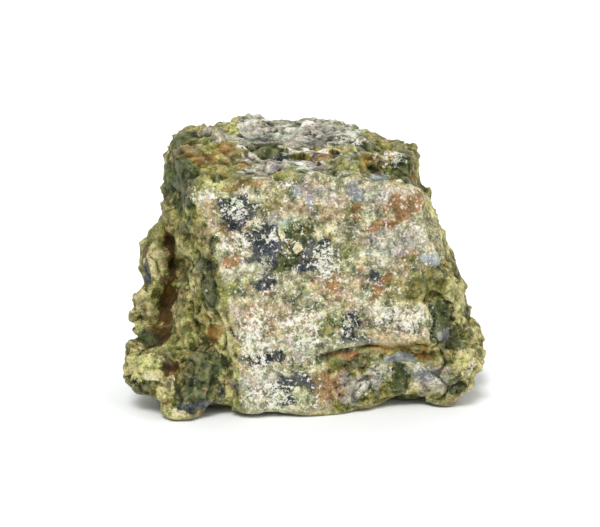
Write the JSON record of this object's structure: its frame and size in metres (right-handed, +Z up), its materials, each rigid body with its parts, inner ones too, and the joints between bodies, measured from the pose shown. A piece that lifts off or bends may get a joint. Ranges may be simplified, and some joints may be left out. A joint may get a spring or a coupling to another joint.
{
  "type": "rough rhyolite stone",
  "caption": "Rough block of mottled green, cream and rust rhyolite with a broad flat face, a ledged top and a hollowed side; stands on its own base as a display or garden stone.",
  "frame": {"origin": "middle of the stone's box, on the surface that it stands on", "axes": "+Z up, +X along the width of the broad pale face, +Y from that face towards the back"},
  "size_m": [0.1646, 0.1162, 0.1204],
  "materials": {
    "rhyolite": "rough and matt, mottled green, cream, grey and rust, waxier in the hollows"
  },
  "bodies": {
    "root": {"rhyolite_block": "rhyolite"}
  },
  "joints": []
}
